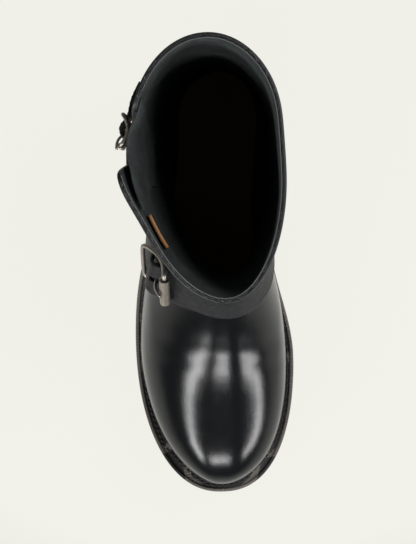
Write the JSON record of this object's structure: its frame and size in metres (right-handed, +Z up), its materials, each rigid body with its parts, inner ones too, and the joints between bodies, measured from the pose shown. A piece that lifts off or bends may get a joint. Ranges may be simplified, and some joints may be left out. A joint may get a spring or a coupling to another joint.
{
  "type": "engineer boot",
  "caption": "Tall black leather engineer boot for the right foot, with a strap over the instep, a buckled collar strap across a side slit, a stitched welt and a stacked heel",
  "frame": {"origin": "on the floor, at the centre of the heel's flat underside", "axes": "+Z up from the floor, +Y toward the back of the heel so that the toe points to -Y, +X to the inner side of the foot"},
  "size_m": [0.1137, 0.3065, 0.285],
  "materials": {
    "sole_rubber": "black matt rubber",
    "midsole_leather": "dark dyed sole leather",
    "welt_leather": "dark brownish grey, waxed",
    "heel_rubber": "black matt rubber",
    "heel_leather": "dark burnished edge",
    "insole_leather": "dark brown, worn",
    "leather": "black, softly glossy",
    "gusset_leather": "black, thin and matt",
    "strap_leather": "black, matt and creased",
    "nickel": "warm nickel plate, slightly dull"
  },
  "bodies": {
    "root": {"gusset": "gusset_leather", "heel_cap": "heel_rubber", "heel_lift_1": "heel_leather", "heel_lift_2": "heel_leather", "heel_lift_3": "heel_leather", "insole": "insole_leather", "instep_bar": "nickel", "instep_buckle": "nickel", "instep_chape": "strap_leather", "instep_prong": "nickel", "instep_roller": "nickel", "instep_strap": "strap_leather", "midsole": "midsole_leather", "outsole": "sole_rubber", "top_bar": "nickel", "top_buckle": "nickel", "top_chape": "strap_leather", "top_prong": "nickel", "top_roller": "nickel", "top_strap": "strap_leather", "upper": "leather", "welt": "welt_leather"}
  },
  "joints": []
}
